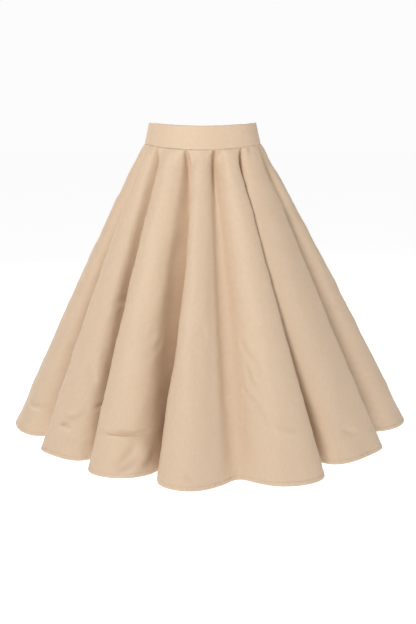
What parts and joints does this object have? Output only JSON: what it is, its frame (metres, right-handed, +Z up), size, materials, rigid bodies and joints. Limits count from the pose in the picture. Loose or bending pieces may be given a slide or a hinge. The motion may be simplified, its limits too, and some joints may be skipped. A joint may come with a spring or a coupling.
{
  "type": "circle skirt",
  "caption": "High-waisted circle skirt with a fitted contoured waistband, deep soft flare folds and a concealed back zip, filled out as worn and hollow.",
  "frame": {"origin": "centre of the waistband's top opening, level with its top edge at the sides, where the wearer's waist holds it", "axes": "+Z up along the body, -Y the front, +X the wearer's left"},
  "size_m": [0.9051, 0.8097, 0.682],
  "materials": {
    "skirt_cloth": "smooth cotton sateen, beige",
    "zip_tape_cloth": "fine woven tape, beige",
    "painted_metal": "satin, beige"
  },
  "bodies": {
    "garment": {"waistband_front": "skirt_cloth", "waistband_back_left": "skirt_cloth", "waistband_back_right": "skirt_cloth", "skirt_front": "skirt_cloth", "skirt_back_left": "skirt_cloth", "skirt_back_right": "skirt_cloth", "zip_tape_left": "zip_tape_cloth", "zip_tape_right": "zip_tape_cloth", "zip_coil": "zip_tape_cloth", "zip_bottom_stop": "painted_metal", "zip_slider": "painted_metal"},
    "pull_tab": {"zip_pull_tab": "painted_metal"}
  },
  "joints": [
    {"name": "pull_tab_hinge", "type": "hinge", "parent": "garment", "child": "pull_tab", "pos_m": [0, 0.09106, -0.01197], "axis": [1, 0, 0], "range_deg": [0, 150]}
  ]
}
